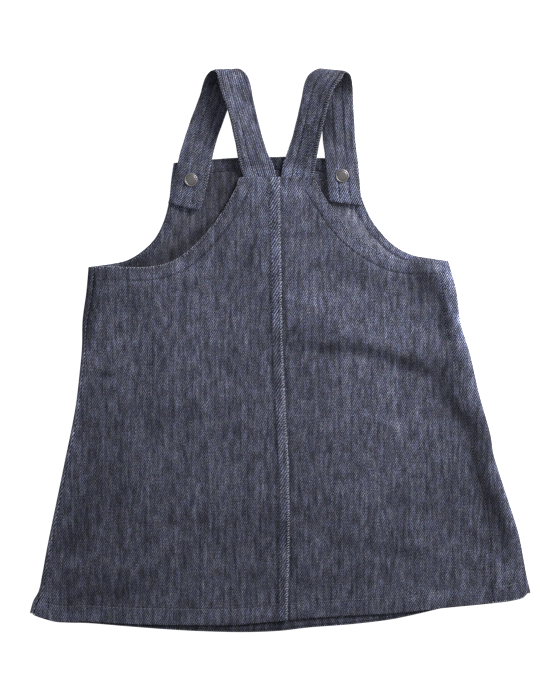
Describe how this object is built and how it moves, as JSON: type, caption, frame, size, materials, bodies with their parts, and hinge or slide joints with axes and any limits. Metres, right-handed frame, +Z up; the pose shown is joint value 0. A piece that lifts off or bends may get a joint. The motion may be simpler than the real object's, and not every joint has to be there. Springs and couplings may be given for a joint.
{
  "type": "pinafore dress",
  "caption": "Denim pinafore dress for a toddler, laid flat with its back up, straps looped over and snapped inside the front bib.",
  "frame": {"origin": "under the middle of the dress's outline, on the surface it lies on", "axes": "+X to the right as the back is seen from above, +Y from the hem towards the strap folds, +Z up from the surface"},
  "size_m": [0.4008, 0.4504, 0.0184],
  "materials": {
    "denim": "dry, right-hand twill with dark and light threads mixed, matt",
    "denim_inside": "inside of the same twill, a little darker and flatter",
    "stud_metal": "dull nickel with worn bright edges"
  },
  "bodies": {
    "root": {"front": "denim_inside", "front_facing_left": "denim_inside", "front_facing_right": "denim_inside", "front_facing_top": "denim_inside", "back_left": "denim", "back_right": "denim", "strap_left": "denim", "strap_right": "denim", "snap_cap_left": "stud_metal", "snap_cap_right": "stud_metal", "snap_socket_left": "stud_metal", "snap_socket_right": "stud_metal", "snap_ring_left": "stud_metal", "snap_ring_right": "stud_metal"}
  },
  "joints": []
}
